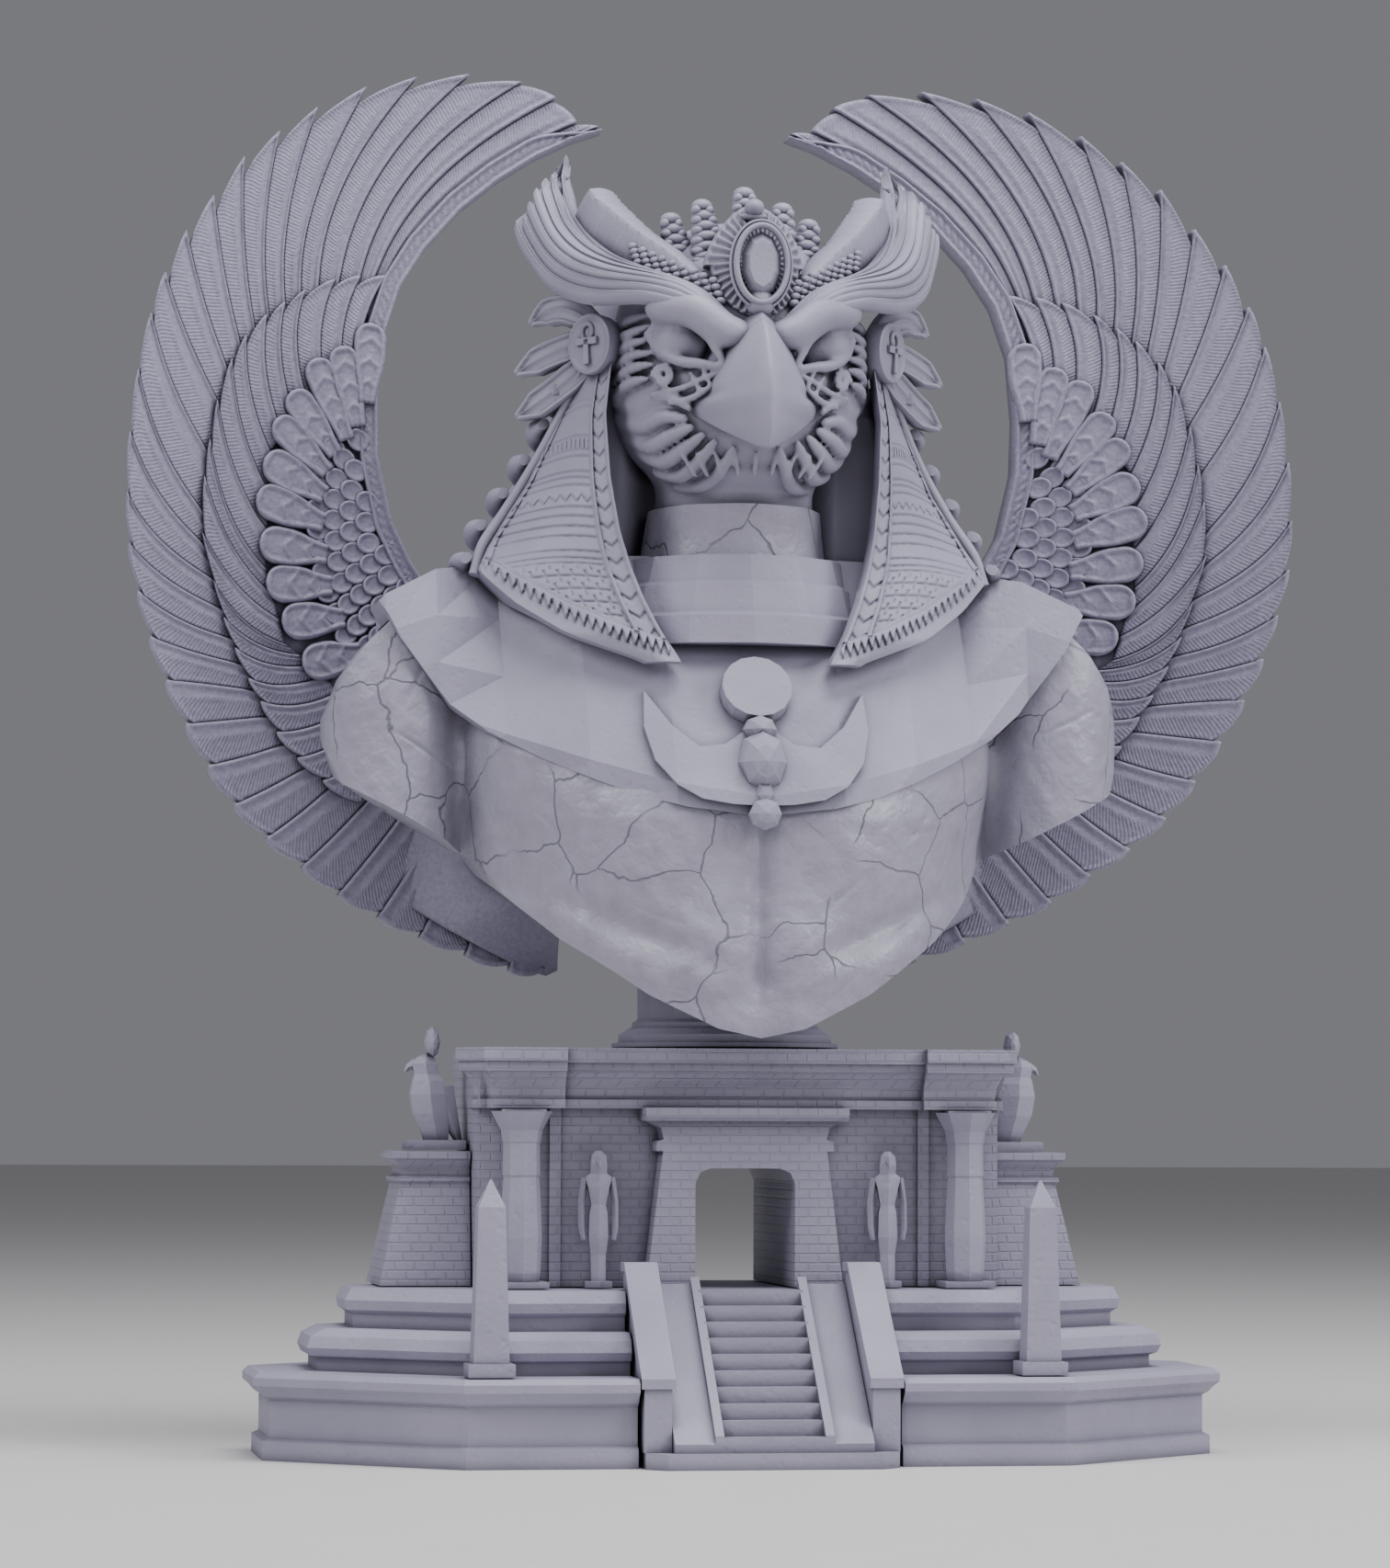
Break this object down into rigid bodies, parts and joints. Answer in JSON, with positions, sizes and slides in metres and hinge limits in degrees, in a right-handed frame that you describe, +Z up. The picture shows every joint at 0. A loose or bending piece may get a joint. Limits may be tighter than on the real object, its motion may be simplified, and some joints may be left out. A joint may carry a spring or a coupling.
{
  "type": "egyptian god bust",
  "caption": "Falcon-headed god bust with raised wings, broad collar and winged scarab, on a small pylon temple with stairs, columns and obelisks.",
  "frame": {"origin": "centre of the plinth's flat underside", "axes": "+Z up, -Y toward the front where the stairs and the face are, +X to the viewer's right"},
  "size_m": [0.282, 0.1232, 0.3333],
  "materials": {
    "resin_stonework": "light grey cast resin, matte, fine stone-like pitting",
    "resin_satin": "grey cast resin, satin, smoothed skin with faint scratches",
    "resin_ornament": "grey cast resin, matte, crisp carved detail",
    "resin_feather": "grey cast resin, matte, fine barb texture",
    "resin_gem": "grey cast resin, polished facets"
  },
  "bodies": {
    "root": {"plinth": "resin_stonework", "stairway": "resin_stonework", "gateway": "resin_stonework", "socle": "resin_satin", "torso": "resin_satin", "collar": "resin_ornament", "scarab_pectoral": "resin_ornament", "head": "resin_ornament", "headdress": "resin_ornament", "brow_gem": "resin_gem", "pylon_left": "resin_stonework", "falcon_left": "resin_ornament", "column_left": "resin_stonework", "guardian_left": "resin_ornament", "obelisk_left": "resin_stonework", "ear_ornament_left": "resin_ornament", "wing_left": "resin_feather", "pylon_right": "resin_stonework", "falcon_right": "resin_ornament", "column_right": "resin_stonework", "guardian_right": "resin_ornament", "obelisk_right": "resin_stonework", "ear_ornament_right": "resin_ornament", "wing_right": "resin_feather"}
  },
  "joints": []
}
